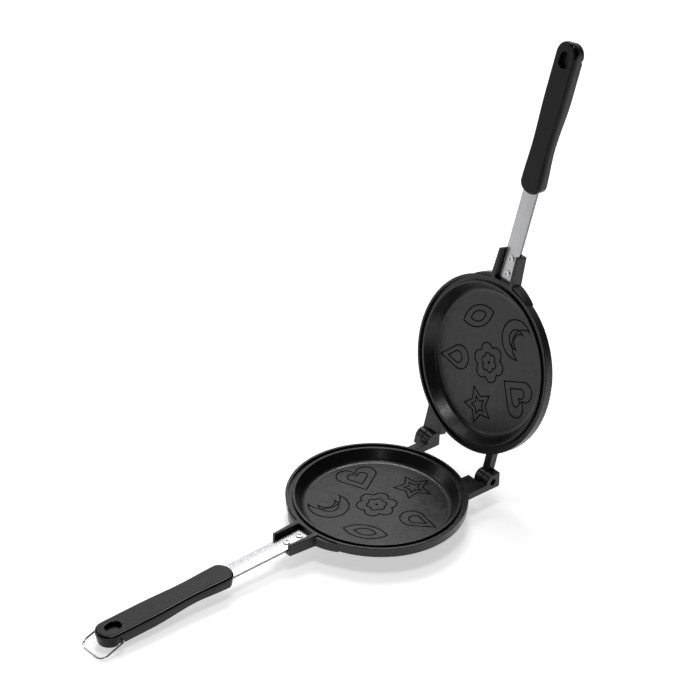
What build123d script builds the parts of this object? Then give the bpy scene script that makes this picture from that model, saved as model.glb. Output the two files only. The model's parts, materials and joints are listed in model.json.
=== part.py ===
from build123d import *
import math
import os

# Sizes are in millimetres. +Z is up, the handles point to -Y and the hinge is at +Y.
# Both halves are one casting: each is drawn in its own frame, whose XY plane is the
# parting plane and whose +Z points out of the pancake cavity.

# Plate
plate_radius = 80.0
land_width = 2.4
groove_width = 3.6
groove_depth = 2.8
ridge_width = 2.4
cavity_slope_width = 6.6
cavity_depth = 10.4
cavity_fillet = 5.0
floor_thickness = 3.6
wall_thickness = 3.2
rim_thickness = 2.8
skirt_depth = 9.7
skirt_thickness = 3.2
skirt_draft = 0.8
skirt_round = 1.2
rim_edge_round = 0.5
ridge_edge_round = 0.5
parting_gap = 0.3

# Ring under each plate that stands on the table or the burner
parting_height = 26.0
base_radius = 53.0
base_ring_width = 5.0
base_draft = 2.5

# Engraved outlines in the cavity floor
engraving_width = 1.3
engraving_depth = 0.8
motif_ring_radius = 42.0
motif_size = 18.5
motif_inner_share = 0.52
motif_dot_radius = 1.4
star_points = 5
star_notch_share = 0.5
heart_lobe_share = 0.5
flower_petals = 6
flower_ring_share = 0.6
flower_petal_share = 0.4
leaf_length_share = 1.1
leaf_bulge_share = 0.55
moon_bite_share = 0.8
drop_bowl_share = 0.62
drop_tip_share = 1.05

# Hinge
hinge_offset = 92.75
ear_width = 7.85
ear_outer_face = 48.0
ear_gap = 0.7
ear_round = 7.3
ear_back = 7.8
ear_back_round = 0.8
ear_edge_round = 0.5
lug_depth = 7.2
lug_inner_face = 26.0
lug_stop_clearance = 9.3
open_angle = 103.8
pin_radius = 2.25
pin_running_clearance = 0.05
pin_recess = 3.0
pin_recess_radius = 3.2
pin_bearing_length = 5.8
pin_end_clearance = 0.4
pin_chamfer = 0.4

# Bracket that holds the strap
bracket_root_width = 28.0
bracket_end_width = 24.0
bracket_end = 107.5
bracket_depth = 10.8
bracket_corner_round = 1.0
bracket_edge_chamfer = 0.4
bracket_slot_width = 18.2
bracket_slot_start = 80.1
pad_half_width = 34.0
pad_shoulder_half_width = 25.5
pad_shoulder_height = 78.0
pad_top = 82.4
pad_drop = 1.4

# Strap
strap_width = 16.6
strap_thickness = 1.9
strap_start = 80.6
strap_end = 268.0
strap_drop = 5.15
strap_drop_at = 85.0
strap_flare = 2.12
strap_corner = 1.5

# Strap screws
strap_screw_places = (87.1, 101.4)
strap_screw_radius = 1.75
strap_screw_head_radius = 3.25
strap_screw_head_height = 1.0
strap_screw_recess_radius = 1.8
strap_screw_recess_depth = 0.7
screw_clearance = 0.05
screw_end_clearance = 0.4
screw_edge_round = 0.5

# Grip
grip_foot = 163.5
grip_foot_depth = 9.0
grip_foot_half_width = 11.8
grip_waist = 205.0
grip_waist_half_width = 10.8
grip_tail = 255.0
grip_tail_half_width = 12.1
grip_end_centre = 291.0
face_thickness = 4.2
face_edge_round = 1.9
face_panel_inset = 2.2
face_panel_height = 0.3
face_panel_chamfer = 0.2
face_hole_centre = 287.0
face_hole_length = 15.0
face_hole_width = 11.0
face_hole_round = 0.8
back_inset = 0.3
back_draft = 1.4
back_depth_foot = 8.8
back_depth_waist = 6.8
back_depth_tail = 9.3
back_edge_round = 2.4
back_slot_clearance = 0.2
notch_place = 288.6
notch_width = 7.0
notch_depth = 3.2

# Grip screws, driven from the back
grip_screw_places = (178.0, 250.0)
grip_screw_radius = 1.4
grip_screw_head_radius = 2.8
grip_screw_head_height = 1.8
grip_screw_head_seat = 5.0
grip_screw_reach = 2.8
grip_screw_recess_radius = 1.2
grip_screw_recess_depth = 0.9
grip_screw_head_clearance = 0.3

# Bail that hooks over the other grip
wire_radius = 1.0
bail_half_width = 15.0
bail_length = 25.7
bail_corner = 7.6
bail_eye_corner = 2.2
bail_stub_reach = 6.0
bail_pivot = 286.6
bail_pivot_depth = 7.5
bail_running_clearance = 0.08
bail_table_gap = 0.05

# Margin of cutting shapes past the solid, and tolerance when an edge is picked by its place
cut_margin = 1.0
match_tolerance = 0.01

half_gap = parting_gap / 2
floor_level = -cavity_depth
underside_level = -cavity_depth - floor_thickness
groove_outer = plate_radius - land_width
ridge_outer = groove_outer - groove_width
ridge_inner = ridge_outer - ridge_width
floor_radius = ridge_inner - cavity_slope_width
grip_end = grip_end_centre + grip_tail_half_width

lower_frame = Plane(origin=(0, 0, parting_height), x_dir=(1, 0, 0), z_dir=(0, 0, 1))


def opened_frame(angle):
    """Frame of the upper half, turned over onto the lower one and then opened."""
    swing = math.radians(angle)
    return Plane(
        origin=(
            0,
            hinge_offset - hinge_offset * math.cos(swing),
            parting_height + hinge_offset * math.sin(swing),
        ),
        x_dir=(-1, 0, 0),
        z_dir=(0, -math.sin(swing), -math.cos(swing)),
    )


def side_plane(frame, across):
    """Plane seen from the side: its X runs to the hinge and its Y out of the cavity."""
    return Plane(
        origin=frame.from_local_coords((across, 0, 0)),
        x_dir=frame.y_dir,
        z_dir=frame.x_dir,
    )


def handle_plane(frame):
    """Plane of the strap's inner face: its X runs along the handle from the plate's centre."""
    flare = math.radians(strap_flare)
    start = frame.from_local_coords((0, 0, strap_drop_at * math.tan(flare) - strap_drop))
    along = frame.y_dir * -math.cos(flare) + frame.z_dir * -math.sin(flare)
    outward = frame.y_dir * -math.sin(flare) + frame.z_dir * math.cos(flare)
    return Plane(origin=start, x_dir=along, z_dir=outward)


def corner(sketch, place):
    return sketch.vertices().sort_by_distance(place)[0]


def plate_profile():
    """Half section of the plate: radius along X and height along Y."""
    rim_underside = -groove_depth - rim_thickness
    slope = cavity_slope_width / cavity_depth
    wall_top = ridge_inner + rim_underside * slope + wall_thickness
    wall_foot = floor_radius + wall_thickness / 2
    skirt_foot = plate_radius - skirt_draft
    ring_top = base_radius + base_draft
    ring_inner = base_radius - base_ring_width
    with BuildSketch() as profile:
        with BuildLine():
            Polyline(
                (0, floor_level),
                (floor_radius, floor_level),
                (ridge_inner, -half_gap),
                (ridge_outer, -half_gap),
                (ridge_outer, -groove_depth),
                (groove_outer, -groove_depth),
                (groove_outer, -half_gap),
                (plate_radius, -half_gap),
                (skirt_foot, -skirt_depth),
                (skirt_foot - skirt_thickness, -skirt_depth),
                (plate_radius - skirt_thickness, rim_underside),
                (wall_top, rim_underside),
                (wall_foot, underside_level),
                (ring_top, underside_level),
                (base_radius, -parting_height),
                (ring_inner, -parting_height),
                (ring_inner - base_draft, underside_level),
                (0, underside_level),
                close=True,
            )
        make_face()
        fillet(corner(profile, (floor_radius, floor_level)), cavity_fillet)
        fillet(corner(profile, (skirt_foot, -skirt_depth)), skirt_round)
        fillet(corner(profile, (plate_radius, -half_gap)), rim_edge_round)
        fillet(corner(profile, (ridge_inner, -half_gap)), ridge_edge_round)
        fillet(corner(profile, (ridge_outer, -half_gap)), ridge_edge_round)
    return profile.sketch


def ear_profile():
    """Side view of a hinge ear with the lug that carries it, from inside the rim."""
    root = plate_radius / 2
    below_axis = math.asin(half_gap / ear_round)
    throat = hinge_offset - ear_round * math.cos(below_axis)
    back = hinge_offset + ear_back
    with BuildSketch() as profile:
        with BuildLine():
            Line((root, -half_gap), (throat, -half_gap))
            CenterArc((hinge_offset, 0), ear_round, 90, 90 + math.degrees(below_axis))
            Polyline(
                (hinge_offset, ear_round),
                (back, ear_round),
                (back, -lug_depth),
                (root, -lug_depth),
                (root, -half_gap),
            )
        make_face()
        fillet(profile.vertices().group_by(Axis.X)[-1], ear_back_round)
    return profile.sketch


def star():
    points = []
    for tip in range(2 * star_points):
        reach = motif_size if tip % 2 == 0 else motif_size * star_notch_share
        angle = math.radians(90 + tip * 180 / star_points)
        points.append((reach * math.cos(angle), reach * math.sin(angle)))
    with BuildSketch() as shape:
        with BuildLine():
            Polyline(*points, close=True)
        make_face()
    return shape.sketch


def heart():
    """Two round lobes over a point; the sides leave the lobes near their widest place."""
    lobe = motif_size * heart_lobe_share
    lobe_height = lobe * 0.6
    side = lobe * 1.86
    with BuildSketch() as shape:
        with Locations((-lobe, lobe_height), (lobe, lobe_height)):
            Circle(lobe * 1.05)
        with BuildLine():
            Polyline((-side, 0), (0, -lobe * 2.1), (side, 0), (0, lobe * 0.9), close=True)
        make_face()
    return shape.sketch


def flower():
    with BuildSketch() as shape:
        with PolarLocations(motif_size * flower_ring_share, flower_petals):
            Circle(motif_size * flower_petal_share)
        Circle(motif_size * flower_ring_share)
    return shape.sketch


def leaf():
    tip = motif_size * leaf_length_share
    bulge = motif_size * leaf_bulge_share
    with BuildSketch() as shape:
        with BuildLine():
            ThreePointArc((-tip, 0), (0, bulge), (tip, 0))
            ThreePointArc((tip, 0), (0, -bulge), (-tip, 0))
        make_face()
    return shape.sketch


def moon():
    """Crescent: a circle with a smaller one taken from its right side."""
    with BuildSketch() as shape:
        Circle(motif_size)
        with Locations((motif_size * 0.55, motif_size * 0.25)):
            Circle(motif_size * moon_bite_share, mode=Mode.SUBTRACT)
    return shape.sketch


def drop():
    """Round bowl with straight sides that meet in a tip above it."""
    bowl = motif_size * drop_bowl_share
    bowl_centre = -bowl / 2
    tip = motif_size * drop_tip_share
    lean = math.asin(bowl / (tip - bowl_centre))
    touch = (bowl * math.cos(lean), bowl_centre + bowl * math.sin(lean))
    with BuildSketch() as shape:
        with Locations((0, bowl_centre)):
            Circle(bowl)
        with BuildLine():
            Polyline((-touch[0], touch[1]), (0, tip), touch, close=True)
        make_face()
    return shape.sketch


def engraved_line(shape):
    """Outline of a shape with a smaller copy of it inside."""
    inner = scale(shape, by=motif_inner_share, mode=Mode.PRIVATE)
    with BuildSketch() as line:
        add(shape)
        offset(amount=-engraving_width, mode=Mode.SUBTRACT)
    with BuildSketch() as inner_line:
        add(inner)
        offset(amount=-engraving_width, mode=Mode.SUBTRACT)
    with BuildSketch() as both:
        add(line.sketch)
        add(inner_line.sketch)
    return both.sketch


def engraving():
    """One motif in the middle of the floor and five round it."""
    with BuildSketch() as pattern:
        add(engraved_line(flower()))
        shapes = (star(), heart(), moon(), leaf(), drop())
        for place, shape in zip(PolarLocations(motif_ring_radius, len(shapes), 90), shapes):
            with Locations(place):
                with Locations(Rotation(0, 0, -90)):
                    add(engraved_line(shape))
        Circle(motif_dot_radius)
    return pattern.sketch


def pad_plan():
    """Plan of the thick skirt beside the bracket's root, which dies into the rim."""
    rim_height = math.sqrt(plate_radius**2 - pad_half_width**2)
    shoulder = (pad_shoulder_half_width, -pad_shoulder_height)
    with BuildSketch() as plan:
        with BuildLine():
            Line((0, 0), (pad_half_width, -rim_height))
            ThreePointArc(
                (pad_half_width, -rim_height), shoulder, (bracket_root_width / 2, -pad_top)
            )
            Line((bracket_root_width / 2, -pad_top), (0, -pad_top))
            mirror(about=Plane.YZ)
        make_face()
    return plan.sketch


def casting(frame):
    """One half of the pan with its strap bracket, hinge lugs and base ring."""
    handle = handle_plane(frame)
    inner_ear = ear_outer_face - ear_width - ear_gap
    with BuildPart() as half:
        # Bracket and the thick skirt beside its root
        with BuildSketch(frame.offset(-half_gap)):
            with BuildLine():
                Polyline(
                    (bracket_root_width / 2, 0),
                    (bracket_root_width / 2, -plate_radius),
                    (bracket_end_width / 2, -bracket_end),
                    (-bracket_end_width / 2, -bracket_end),
                    (-bracket_root_width / 2, -plate_radius),
                    (-bracket_root_width / 2, 0),
                    close=True,
                )
            make_face()
        extrude(amount=-bracket_depth)
        bracket_corners = half.edges().filter_by(Axis(frame.origin, frame.z_dir))
        fillet(bracket_corners.sort_by(Axis(frame.origin, frame.y_dir))[:2], bracket_corner_round)
        with BuildSketch(frame.offset(-pad_drop)):
            add(pad_plan())
        extrude(amount=pad_drop - skirt_depth)
        with BuildSketch(handle.offset(-strap_thickness)):
            with Locations((bracket_slot_start, 0)):
                Rectangle(plate_radius, bracket_slot_width, align=(Align.MIN, Align.CENTER))
        extrude(amount=bracket_depth * 2, mode=Mode.SUBTRACT)
        rib_tops = half.faces().sort_by(Axis(frame.origin, frame.z_dir))[-1]
        chamfer(rib_tops.edges(), bracket_edge_chamfer)

        # Hinge lugs and ears
        with BuildSketch(side_plane(frame, ear_outer_face - ear_width)):
            add(ear_profile())
        extrude(amount=ear_width)
        with BuildSketch(side_plane(frame, -inner_ear)):
            add(ear_profile())
        extrude(amount=ear_width)
        for across in (ear_outer_face, -inner_ear, ear_width - inner_ear):
            place = across * frame.x_dir.X
            rounded = half.edges().filter_by_position(
                Axis.X, place - match_tolerance, place + match_tolerance
            )
            fillet(rounded, ear_edge_round)
        with BuildSketch(frame.offset(-half_gap)):
            with Locations((lug_inner_face, hinge_offset - lug_stop_clearance)):
                Rectangle(
                    ear_outer_face - ear_width - lug_inner_face,
                    plate_radius / 2,
                    align=(Align.MIN, Align.MAX),
                )
        extrude(amount=half_gap - lug_depth)

        # Everything so far ends inside the skirt, and the turned plate closes it
        with BuildSketch(frame.offset(-parting_height)):
            Circle(plate_radius - skirt_thickness / 2)
        extrude(amount=parting_height * 2, mode=Mode.SUBTRACT)
        with BuildSketch(side_plane(frame, 0)):
            add(plate_profile())
        revolve(axis=Axis(frame.origin, frame.z_dir))

        with BuildSketch(frame.offset(floor_level)):
            add(engraving())
        extrude(amount=-engraving_depth, mode=Mode.SUBTRACT)

        # Pin bores
        with BuildSketch(side_plane(frame, ear_outer_face - ear_width)):
            with Locations((hinge_offset, 0)):
                Circle(pin_radius)
        extrude(amount=ear_width, mode=Mode.SUBTRACT)
        with BuildSketch(side_plane(frame, ear_outer_face - pin_recess)):
            with Locations((hinge_offset, 0)):
                Circle(pin_recess_radius)
        extrude(amount=pin_recess, mode=Mode.SUBTRACT)
        with BuildSketch(side_plane(frame, -inner_ear)):
            with Locations((hinge_offset, 0)):
                Circle(pin_radius + pin_running_clearance)
        extrude(amount=pin_bearing_length + pin_end_clearance, mode=Mode.SUBTRACT)

        # Screw holes through the bracket floor
        with BuildSketch(handle):
            with Locations(*[(place, 0) for place in strap_screw_places]):
                Circle(strap_screw_radius + screw_clearance)
        extrude(amount=-bracket_depth * 2, mode=Mode.SUBTRACT)
    return half


def hinge_pin(frame):
    """Pin pressed in the outer ear of one half and running in the inner ear of the other."""
    inner_end = ear_outer_face - ear_width - ear_gap - pin_bearing_length
    with BuildPart() as pin:
        with BuildSketch(side_plane(frame, inner_end)):
            with Locations((hinge_offset, 0)):
                Circle(pin_radius)
        extrude(amount=ear_outer_face - pin_recess - inner_end)
        chamfer(pin.edges().filter_by(GeomType.CIRCLE), pin_chamfer)
    return pin


def strap(frame):
    handle = handle_plane(frame)
    with BuildPart() as bar:
        with BuildSketch(handle.offset(-strap_thickness)):
            with Locations(((strap_start + strap_end) / 2, 0)):
                RectangleRounded(strap_end - strap_start, strap_width, strap_corner)
            with Locations(*[(place, 0) for place in strap_screw_places]):
                Circle(strap_screw_radius + screw_clearance, mode=Mode.SUBTRACT)
            with Locations(*[(place, 0) for place in grip_screw_places]):
                Circle(grip_screw_radius + screw_clearance, mode=Mode.SUBTRACT)
        extrude(amount=strap_thickness)
    return bar


def strap_screw(frame, place):
    """Screw that holds the strap on the bracket floor."""
    handle = handle_plane(frame)
    floor_below_strap = bracket_depth - strap_drop - strap_thickness
    shank_length = strap_thickness + floor_below_strap - screw_end_clearance
    with BuildPart() as screw:
        with BuildSketch(handle):
            with Locations((place, 0)):
                Circle(strap_screw_head_radius)
        extrude(amount=strap_screw_head_height)
        crown = screw.edges().filter_by(GeomType.CIRCLE)
        crown = crown.sort_by(Axis(handle.origin, handle.z_dir))[-1]
        fillet(crown, screw_edge_round)
        with BuildSketch(handle.offset(strap_screw_head_height)):
            with Locations((place, 0)):
                Circle(strap_screw_recess_radius)
        extrude(amount=-strap_screw_recess_depth, mode=Mode.SUBTRACT)
        with BuildSketch(handle):
            with Locations((place, 0)):
                Circle(strap_screw_radius)
        extrude(amount=-shank_length)
    return screw


def grip_outline(inset=0.0):
    """Plan of the grip, along X from its foot to its round end."""
    foot_centre = grip_foot + grip_foot_depth
    foot = grip_foot_half_width - inset
    waist = grip_waist_half_width - inset
    tail = grip_tail_half_width - inset
    with BuildSketch() as plan:
        with BuildLine():
            EllipticalCenterArc(
                (foot_centre, 0), grip_foot_depth - inset, foot, 90, arc_size=90
            )
            Spline(
                (foot_centre, foot),
                (grip_waist, waist),
                (grip_tail, tail),
                tangents=((1, 0), (1, 0)),
            )
            Line((grip_tail, tail), (grip_end_centre, tail))
            CenterArc((grip_end_centre, 0), tail, 90, -90)
            mirror(about=Plane.XZ)
        make_face()
    return plan.sketch


def face_hole():
    with BuildSketch() as hole:
        with Locations((face_hole_centre, 0)):
            SlotOverall(face_hole_length, face_hole_width)
    return hole.sketch


def grip_face(frame):
    """Flat half of the grip, with a raised panel on the side that faces the other grip."""
    handle = handle_plane(frame)
    outward = Axis(handle.origin, handle.z_dir)
    with BuildPart() as face:
        with BuildSketch(handle):
            add(grip_outline())
        extrude(amount=face_thickness - face_panel_height)
        fillet(face.faces().sort_by(outward)[-1].edges(), face_edge_round)
        with BuildSketch(handle):
            add(grip_outline(face_panel_inset))
        extrude(amount=face_thickness)
        chamfer(face.faces().sort_by(outward)[-1].edges(), face_panel_chamfer)
        with BuildSketch(handle):
            add(face_hole())
        extrude(amount=face_thickness, mode=Mode.SUBTRACT)
        lip = face.faces().sort_by(outward)[-1].inner_wires()[0].edges()
        fillet(lip, face_hole_round)
        with BuildSketch(handle):
            with Locations(*[(place, 0) for place in grip_screw_places]):
                Circle(grip_screw_radius + screw_clearance)
        extrude(amount=grip_screw_reach + screw_end_clearance, mode=Mode.SUBTRACT)
    return face


def back_side_view():
    """Side view of the round half: how deep it is along the handle."""
    with BuildSketch() as profile:
        with BuildLine():
            Line((grip_foot, cut_margin), (grip_end, cut_margin))
            Line((grip_end, cut_margin), (grip_end, -back_depth_tail))
            Line((grip_end, -back_depth_tail), (grip_tail, -back_depth_tail))
            Spline(
                (grip_tail, -back_depth_tail),
                (grip_waist, -back_depth_waist),
                (grip_foot, -back_depth_foot),
                tangents=((-1, 0), (-1, 0)),
            )
            Line((grip_foot, -back_depth_foot), (grip_foot, cut_margin))
        make_face()
    return profile.sketch


def along_plane(handle, across):
    """Side plane of the handle: X along the handle and Y toward the other grip."""
    return Plane(
        origin=handle.from_local_coords((0, across, 0)),
        x_dir=handle.x_dir,
        z_dir=-handle.y_dir,
    )


def grip_back(frame, with_bail):
    """Round half of the grip, with the strap's slot, the notch and the screw wells."""
    handle = handle_plane(frame)
    widest = grip_tail_half_width * 2
    with BuildPart() as back:
        with BuildSketch(handle):
            add(grip_outline(back_inset))
        with BuildSketch(handle.offset(-back_depth_tail)):
            add(grip_outline(back_inset + back_draft))
        loft()
        with BuildSketch(along_plane(handle, widest)):
            add(back_side_view())
        extrude(amount=widest * 2, mode=Mode.INTERSECT)
        outer = back.faces().sort_by(Axis(handle.origin, handle.z_dir))[0]
        fillet(outer.edges(), back_edge_round)
        with BuildSketch(handle):
            with Locations((grip_foot, 0)):
                Rectangle(
                    strap_end - grip_foot + back_slot_clearance,
                    strap_width + back_slot_clearance * 2,
                    align=(Align.MIN, Align.CENTER),
                )
        extrude(amount=-strap_thickness, mode=Mode.SUBTRACT)
        with BuildSketch(along_plane(handle, widest)):
            with BuildLine():
                Polyline(
                    (notch_place - notch_width / 2, -back_depth_tail),
                    (notch_place, -back_depth_tail + notch_depth),
                    (notch_place + notch_width / 2, -back_depth_tail),
                    close=True,
                )
            make_face()
        extrude(amount=widest * 2, mode=Mode.SUBTRACT)
        with BuildSketch(handle):
            with Locations(*[(place, 0) for place in grip_screw_places]):
                Circle(grip_screw_radius + screw_clearance)
        extrude(amount=-back_depth_tail, mode=Mode.SUBTRACT)
        with BuildSketch(handle.offset(-grip_screw_head_seat)):
            with Locations(*[(place, 0) for place in grip_screw_places]):
                Circle(grip_screw_head_radius + grip_screw_head_clearance)
        extrude(amount=-back_depth_tail, mode=Mode.SUBTRACT)
        if with_bail:
            for side in (1, -1):
                with BuildSketch(along_plane(handle, side * widest)):
                    with Locations((bail_pivot, face_thickness - bail_pivot_depth)):
                        Circle(wire_radius + bail_running_clearance)
                hole_depth = widest - (bail_half_width - bail_stub_reach - screw_end_clearance)
                extrude(amount=side * hole_depth, mode=Mode.SUBTRACT)
    return back


def grip_screw(frame, place):
    """Screw from the well in the grip's back, through the strap, into the grip's face."""
    handle = handle_plane(frame)
    seat = handle.offset(-grip_screw_head_seat)
    with BuildPart() as screw:
        with BuildSketch(seat):
            with Locations((place, 0)):
                Circle(grip_screw_head_radius)
        extrude(amount=-grip_screw_head_height)
        crown = screw.edges().filter_by(GeomType.CIRCLE)
        crown = crown.sort_by(Axis(handle.origin, handle.z_dir))[0]
        fillet(crown, screw_edge_round)
        with BuildSketch(seat.offset(-grip_screw_head_height)):
            with Locations((place, 0)):
                Circle(grip_screw_recess_radius)
        extrude(amount=grip_screw_recess_depth, mode=Mode.SUBTRACT)
        with BuildSketch(seat):
            with Locations((place, 0)):
                Circle(grip_screw_radius)
        extrude(amount=grip_screw_head_seat + grip_screw_reach)
    return screw


def bail(frame):
    """Wire bail in the lower grip, hanging from its pivot down to the table."""
    handle = handle_plane(frame)
    pivot = handle.from_local_coords((bail_pivot, 0, face_thickness - bail_pivot_depth))
    drop_to_table = pivot.Z - wire_radius - bail_table_gap
    tilt = math.asin(drop_to_table / bail_length)
    swing = Plane(
        origin=pivot, x_dir=(1, 0, 0), z_dir=(0, math.sin(tilt), -math.cos(tilt))
    )
    stub_end = bail_half_width - bail_stub_reach
    with BuildPart() as wire:
        with BuildLine(swing):
            FilletPolyline(
                (stub_end, 0),
                (bail_half_width, 0),
                (bail_half_width, bail_length),
                (-bail_half_width, bail_length),
                (-bail_half_width, 0),
                (-stub_end, 0),
                radius=[bail_eye_corner, bail_corner, bail_corner, bail_eye_corner],
            )
        start = swing.from_local_coords((stub_end, 0, 0))
        with BuildSketch(Plane(origin=start, z_dir=(1, 0, 0))):
            Circle(wire_radius)
        sweep()
    return wire


def save(piece, name):
    piece.part.label = name
    export_step(piece.part, f"parts/{name}.step")


def build():
    os.makedirs("parts", exist_ok=True)
    upper_frame = opened_frame(open_angle)
    for half, frame in (("lower", lower_frame), ("upper", upper_frame)):
        save(casting(frame), f"{half}_pan")
        save(strap(frame), f"{half}_strap")
        for number, place in enumerate(strap_screw_places, 1):
            save(strap_screw(frame, place), f"{half}_strap_screw_{number}")
        save(grip_face(frame), f"{half}_grip_face")
        save(grip_back(frame, half == "lower"), f"{half}_grip_back")
        for number, place in enumerate(grip_screw_places, 1):
            save(grip_screw(frame, place), f"{half}_grip_screw_{number}")
    save(hinge_pin(lower_frame), "hinge_pin_right")
    save(hinge_pin(upper_frame), "hinge_pin_left")
    save(bail(lower_frame), "bail")


build()
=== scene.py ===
import json
import math

import bpy
from mathutils import Matrix, Vector

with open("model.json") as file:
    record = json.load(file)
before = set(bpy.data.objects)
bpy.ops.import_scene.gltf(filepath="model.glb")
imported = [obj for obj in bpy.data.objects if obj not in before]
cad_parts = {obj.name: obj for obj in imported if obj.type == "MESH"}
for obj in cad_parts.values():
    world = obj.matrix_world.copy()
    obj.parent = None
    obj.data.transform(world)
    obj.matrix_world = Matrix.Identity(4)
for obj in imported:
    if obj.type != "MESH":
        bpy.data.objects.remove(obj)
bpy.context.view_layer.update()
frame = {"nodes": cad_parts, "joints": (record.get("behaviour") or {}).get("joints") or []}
MM = 0.001

# The camera that the photograph was taken with, in degrees, metres and the 700 pixel frame
IMAGE_WIDTH = 700
FOCAL_LENGTH_PX = 3600
SENSOR_MM = 36.0
CAMERA_AZIMUTH = 48.824
CAMERA_ELEVATION = 33.140
CAMERA_ROLL = 1.991
CAMERA_DISTANCE = 3.3251
CAMERA_TARGET = Vector((-0.19053, 0.12963, 0.026))

# Height of the lower pan's parting plane, and how far the cavity floors lie from that plane
PARTING_HEIGHT = 26.0 * MM
FLOOR_DEPTH = 10.4 * MM

# The straps flare away from the parting plane, and the lower grip's face is square to its strap
STRAP_FLARE = math.radians(2.12)
LOWER_NORMAL = Vector((0, -math.sin(STRAP_FLARE), math.cos(STRAP_FLARE)))

# Half width of a strap where the painted shade along its edges starts, and where it is fully dark
STRAP_EDGE = (7.7 * MM, 8.1 * MM)

# Depths below the cavity floor between which the engraved lines lose their shine, as painted shade
# in the grooves
ENGRAVED_DEPTH = (0.5 * MM, 0.1 * MM)

# The brightest part of the room, which the lower plate and strap mirror toward the camera
BRIGHT_WALL = Vector((-0.63, 0.55, 0.55))

WHITE = (1, 1, 1, 1)
BLACK = (0, 0, 0, 1)


def add_camera():
    """Camera at the photograph's angle, a little rolled, looking at the middle of the frame."""
    azimuth, elevation = math.radians(CAMERA_AZIMUTH), math.radians(CAMERA_ELEVATION)
    roll = math.radians(CAMERA_ROLL)
    back = Vector((
        math.sin(azimuth) * math.cos(elevation),
        -math.cos(azimuth) * math.cos(elevation),
        math.sin(elevation),
    ))
    level_right = Vector((math.cos(azimuth), math.sin(azimuth), 0))
    level_up = back.cross(level_right)
    right = math.cos(roll) * level_right + math.sin(roll) * level_up
    up = math.cos(roll) * level_up - math.sin(roll) * level_right
    data = bpy.data.cameras.new("camera")
    data.sensor_width = SENSOR_MM
    data.lens = FOCAL_LENGTH_PX / IMAGE_WIDTH * SENSOR_MM
    data.clip_end = 50
    camera = bpy.data.objects.new("camera", data)
    bpy.context.scene.collection.objects.link(camera)
    turn = Matrix((right, up, back)).transposed().to_4x4()
    camera.matrix_world = Matrix.Translation(CAMERA_TARGET + back * CAMERA_DISTANCE) @ turn
    bpy.context.scene.camera = camera


def new_material(name):
    """Empty node material with its output and one shader."""
    material = bpy.data.materials.new(name)
    material.use_nodes = True
    tree = material.node_tree
    tree.nodes.clear()
    output = tree.nodes.new("ShaderNodeOutputMaterial")
    shader = tree.nodes.new("ShaderNodeBsdfPrincipled")
    tree.links.new(shader.outputs["BSDF"], output.inputs["Surface"])
    return material, tree, shader


def node(tree, kind, inputs=None, **settings):
    """Node of a kind, with its settings, and its inputs given as values or as sockets."""
    made = tree.nodes.new(kind)
    for name, value in settings.items():
        setattr(made, name, value)
    for name, value in (inputs or {}).items():
        if isinstance(value, bpy.types.NodeSocket):
            tree.links.new(value, made.inputs[name])
        else:
            made.inputs[name].default_value = value
    return made


def object_coordinates(tree, scale=(1, 1, 1)):
    where = node(tree, "ShaderNodeTexCoord")
    mapping = node(tree, "ShaderNodeMapping", {"Vector": where.outputs["Object"], "Scale": scale})
    return mapping.outputs["Vector"]


def noise(tree, scale, detail=3.0, stretch=(1, 1, 1)):
    where = object_coordinates(tree, stretch)
    inputs = {"Vector": where, "Scale": scale, "Detail": detail, "Roughness": 0.5}
    return node(tree, "ShaderNodeTexNoise", inputs).outputs["Fac"]


def spread(tree, value, low, high, from_low=0.35, from_high=0.65):
    """Value carried from one range, by default the one that noise mostly fills, to another."""
    inputs = {"Value": value, "From Min": from_low, "From Max": from_high}
    inputs.update({"To Min": low, "To Max": high})
    return node(tree, "ShaderNodeMapRange", inputs).outputs["Result"]


def blend_colours(tree, factor, first, second):
    """Mix of two colours, each given as red, green and blue or as a socket."""
    first, second = (
        colour if isinstance(colour, bpy.types.NodeSocket) else (*colour, 1)
        for colour in (first, second)
    )
    inputs = {"Factor": factor, "A": first, "B": second}
    return node(tree, "ShaderNodeMix", inputs, data_type="RGBA").outputs["Result"]


def dot_product(tree, first, second):
    inputs = {0: first, 1: second}
    made = node(tree, "ShaderNodeVectorMath", inputs, operation="DOT_PRODUCT")
    return made.outputs["Value"]


def mix_shaders(tree, factor, first, second):
    inputs = {0: factor, 1: first, 2: second}
    return node(tree, "ShaderNodeMixShader", inputs).outputs[0]


def bump(tree, height, distance, strength):
    inputs = {"Height": height, "Distance": distance, "Strength": strength}
    return node(tree, "ShaderNodeBump", inputs).outputs["Normal"]


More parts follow.
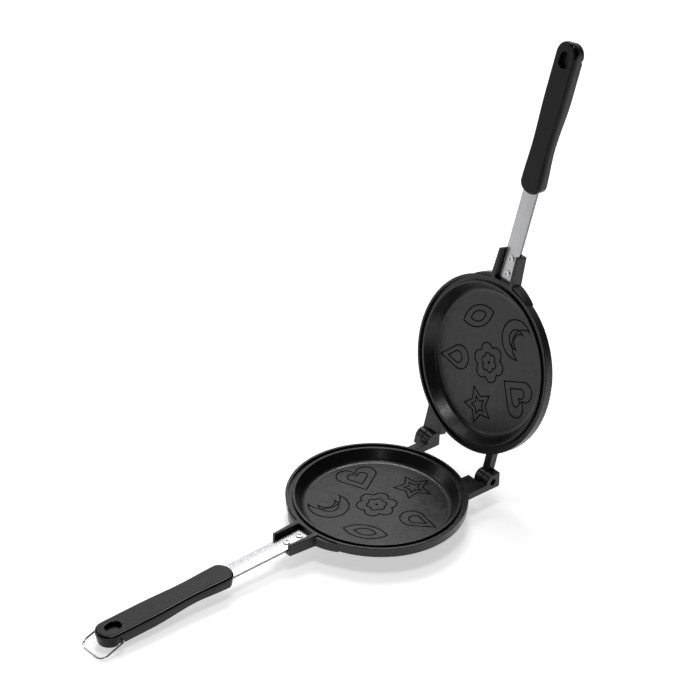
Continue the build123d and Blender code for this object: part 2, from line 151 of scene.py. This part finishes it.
def coating_material(name, origin, normal):
    """Dark non-stick coating: a fine speckle of lighter flakes on a slightly pebbled film.

    The origin and the normal are those of the pan's parting plane, from which the depth of the
    engraved lines is measured: their shine is cut there as painted shade in the grooves.
    """
    material, tree, shader = new_material(name)
    place = node(
        tree, "ShaderNodeVectorMath", {0: object_coordinates(tree), 1: origin}, operation="SUBTRACT"
    )
    height = dot_product(tree, place.outputs["Vector"], normal)
    # Painted shade: below the floor level the engraved grooves lose their shine so they read dark
    cut_low, cut_high = (-FLOOR_DEPTH - depth for depth in ENGRAVED_DEPTH)
    groove_shade = spread(tree, height, 1.0, 0.0, cut_low, cut_high)
    flakes = node(
        tree, "ShaderNodeTexVoronoi", {"Vector": object_coordinates(tree), "Scale": 1400.0}
    )
    sparkle = spread(tree, flakes.outputs["Distance"], 1.0, 0.0, 0.05, 0.35)
    cloud = noise(tree, 60.0)
    base = blend_colours(tree, cloud, (0.003, 0.003, 0.0033), (0.006, 0.006, 0.0063))
    colour = blend_colours(tree, sparkle, base, (0.022, 0.022, 0.023))
    tree.links.new(colour, shader.inputs["Base Color"])
    tree.links.new(spread(tree, noise(tree, 220.0), 0.27, 0.35), shader.inputs["Roughness"])
    tree.links.new(spread(tree, groove_shade, 0.40, 0.04, 0.0, 1.0), shader.inputs["Specular IOR Level"])
    pebble = bump(tree, noise(tree, 900.0, 2.0), 0.00004, 0.6)
    tree.links.new(pebble, shader.inputs["Normal"])
    return material


def strap_material():
    """Stainless steel brushed along the handle, with painted shade along its edges."""
    material, tree, shader = new_material("brushed_strap")
    streaks = noise(tree, 1000.0, 3.0, (5, 0.03, 0.03))
    colour = blend_colours(tree, streaks, (0.42, 0.42, 0.43), (0.52, 0.52, 0.53))
    across = node(tree, "ShaderNodeSeparateXYZ", {"Vector": object_coordinates(tree)}).outputs["X"]
    reach = node(tree, "ShaderNodeMath", {0: across}, operation="ABSOLUTE").outputs["Value"]
    # Painted shade: a dark band along both edges of the strap
    edge = spread(tree, reach, 0.0, 1.0, *STRAP_EDGE)
    edge_painted_shade = blend_colours(tree, edge, colour, (0.2, 0.2, 0.205))
    tree.links.new(edge_painted_shade, shader.inputs["Base Color"])
    shader.inputs["Metallic"].default_value = 1.0
    shader.inputs["Anisotropic"].default_value = 0.5
    tree.links.new(spread(tree, streaks, 0.22, 0.32), shader.inputs["Roughness"])
    tree.links.new(bump(tree, streaks, 0.00001, 0.3), shader.inputs["Normal"])
    return material


def screw_material():
    material, tree, shader = new_material("plated_screw")
    wear = noise(tree, 900.0)
    colour = blend_colours(tree, wear, (0.52, 0.52, 0.53), (0.66, 0.66, 0.67))
    tree.links.new(colour, shader.inputs["Base Color"])
    shader.inputs["Metallic"].default_value = 1.0
    tree.links.new(spread(tree, wear, 0.22, 0.34), shader.inputs["Roughness"])
    return material


def wire_material():
    material, tree, shader = new_material("polished_wire")
    draw_marks = noise(tree, 700.0, 2.0)
    colour = blend_colours(tree, draw_marks, (0.66, 0.66, 0.67), (0.76, 0.76, 0.77))
    tree.links.new(colour, shader.inputs["Base Color"])
    shader.inputs["Metallic"].default_value = 1.0
    tree.links.new(spread(tree, draw_marks, 0.10, 0.18), shader.inputs["Roughness"])
    return material


def grip_material(name, facing):
    """Black phenolic plastic: satin on the flat face, polished on the rounded edge."""
    material, tree, shader = new_material(name)
    normal = node(tree, "ShaderNodeTexCoord").outputs["Normal"]
    flat = spread(tree, dot_product(tree, normal, facing), 0.0, 1.0, 0.985, 0.998)
    colour = blend_colours(tree, flat, (0.002, 0.002, 0.0022), (0.006, 0.006, 0.0063))
    tree.links.new(colour, shader.inputs["Base Color"])
    satin = spread(tree, noise(tree, 500.0), 0.38, 0.5)
    rough = node(tree, "ShaderNodeMix", {"Factor": flat, "A": 0.10, "B": satin}, data_type="FLOAT")
    tree.links.new(rough.outputs["Result"], shader.inputs["Roughness"])
    shader.inputs["Specular IOR Level"].default_value = 0.22
    grain = bump(tree, noise(tree, 1500.0, 2.0), 0.00003, 0.4)
    tree.links.new(grain, shader.inputs["Normal"])
    return material


def back_material():
    """Black plastic of the rounded half, satin with soft moulding marks."""
    material, tree, shader = new_material("grip_back")
    marks = noise(tree, 120.0)
    colour = blend_colours(tree, marks, (0.003, 0.003, 0.0033), (0.006, 0.006, 0.0063))
    tree.links.new(colour, shader.inputs["Base Color"])
    tree.links.new(spread(tree, marks, 0.24, 0.34), shader.inputs["Roughness"])
    shader.inputs["Specular IOR Level"].default_value = 0.22
    tree.links.new(bump(tree, noise(tree, 1500.0, 2.0), 0.00003, 0.4), shader.inputs["Normal"])
    return material


def dress(name, material):
    """Gives a CAD node its material."""
    data = frame["nodes"][name].data
    data.materials.clear()
    data.materials.append(material)


def dress_nodes():
    """Every node's material. The upper half is the lower one turned over and opened."""
    lid = next(j for j in frame["joints"] if j["name"] == "lid_hinge")
    hinge = Vector(lid["pos_m"])
    swing = Matrix.Rotation(-math.radians(lid["range_deg"][1]), 3, "X")
    upper_normal = swing @ Vector((0, LOWER_NORMAL.y, -LOWER_NORMAL.z))
    lower_origin = Vector((0, 0, PARTING_HEIGHT))
    lower_plane = (lower_origin, Vector((0, 0, 1)))
    upper_plane = (swing @ (lower_origin - hinge) + hinge, swing @ Vector((0, 0, -1)))
    steel = strap_material()
    screw, wire, back = screw_material(), wire_material(), back_material()
    halves = (("lower", LOWER_NORMAL, lower_plane), ("upper", upper_normal, upper_plane))
    for half, facing, (origin, normal) in halves:
        dress(f"{half}_pan", coating_material(f"{half}_coating", origin, normal))
        dress(f"{half}_strap", steel)
        dress(f"{half}_grip_face", grip_material(f"{half}_grip_face", facing))
        dress(f"{half}_grip_back", back)
        for number in (1, 2):
            dress(f"{half}_strap_screw_{number}", screw)
            dress(f"{half}_grip_screw_{number}", screw)
    for side in ("left", "right"):
        dress(f"hinge_pin_{side}", screw)
    dress("bail", wire)


def add_floor():
    """White studio table that keeps the soft shadow; it glows only as seen or mirrored."""
    size = 40.0
    data = bpy.data.meshes.new("floor")
    corners = [(-size, -size, 0), (size, -size, 0), (size, size, 0), (-size, size, 0)]
    data.from_pydata(corners, [], [(0, 1, 2, 3)])
    floor = bpy.data.objects.new("floor", data)
    bpy.context.scene.collection.objects.link(floor)
    material, tree, shader = new_material("studio_floor")
    shader.inputs["Roughness"].default_value = 0.9
    shader.inputs["Specular IOR Level"].default_value = 0.0
    mottle = noise(tree, 3.0)
    colour = blend_colours(tree, mottle, (0.90, 0.90, 0.90), (0.93, 0.93, 0.93))
    tree.links.new(colour, shader.inputs["Base Color"])
    path = node(tree, "ShaderNodeLightPath")
    seen = node(
        tree, "ShaderNodeMath", {0: path.outputs["Is Camera Ray"], 1: path.outputs["Is Glossy Ray"]},
        operation="MAXIMUM",
    )
    glow = node(tree, "ShaderNodeEmission", {"Color": WHITE, "Strength": 0.55})
    none = node(tree, "ShaderNodeEmission", {"Color": BLACK, "Strength": 0.0})
    lift = mix_shaders(tree, seen.outputs["Value"], none.outputs[0], glow.outputs[0])
    both = node(tree, "ShaderNodeAddShader", {0: shader.outputs[0], 1: lift})
    output = next(n for n in tree.nodes if n.type == "OUTPUT_MATERIAL")
    tree.links.new(both.outputs[0], output.inputs["Surface"])
    data.materials.append(material)


def add_world():
    """Dim room with one bright wall, which the camera sees as plain white."""
    world = bpy.data.worlds.new("studio")
    bpy.context.scene.world = world
    world.use_nodes = True
    tree = world.node_tree
    tree.nodes.clear()
    output = tree.nodes.new("ShaderNodeOutputWorld")
    path = node(tree, "ShaderNodeLightPath")
    direction = node(tree, "ShaderNodeTexCoord").outputs["Generated"]
    glow = spread(tree, dot_product(tree, direction, BRIGHT_WALL), 0.04, 0.75, 0.6, 0.98)
    room = node(tree, "ShaderNodeBackground", {"Color": WHITE, "Strength": glow})
    white = node(tree, "ShaderNodeBackground", {"Color": WHITE, "Strength": 1.0})
    mix = mix_shaders(tree, path.outputs["Is Camera Ray"], room.outputs[0], white.outputs[0])
    tree.links.new(mix, output.inputs["Surface"])


def add_softbox(name, place, aim, size, power):
    """Rectangular lamp at a place, turned toward what it lights. Size in metres, power in watts."""
    data = bpy.data.lights.new(name, "AREA")
    data.shape = "RECTANGLE"
    data.size, data.size_y = size
    data.energy = power
    lamp = bpy.data.objects.new(name, data)
    bpy.context.scene.collection.objects.link(lamp)
    lamp.location = place
    lamp.rotation_euler = (Vector(place) - Vector(aim)).to_track_quat("Z", "Y").to_euler()


def add_lights():
    """Main light over the back left, three weaker ones for the tops, edges and grips."""
    middle = (0, 0, 0.05)
    add_softbox("back_left_softbox", (-1.0, 0.8, 1.95), middle, (0.8, 0.8), 22)
    add_softbox("top_softbox", (0.1, -0.1, 2.0), middle, (0.4, 0.4), 8)
    add_softbox("left_softbox", (-1.5, -1.2, 0.9), middle, (0.5, 1.0), 4)
    add_softbox("front_strip", (1.3, -1.3, 0.6), middle, (0.08, 1.2), 2)


add_camera()
add_floor()
add_world()
add_lights()
dress_nodes()

bpy.context.scene.view_settings.view_transform = "Standard"
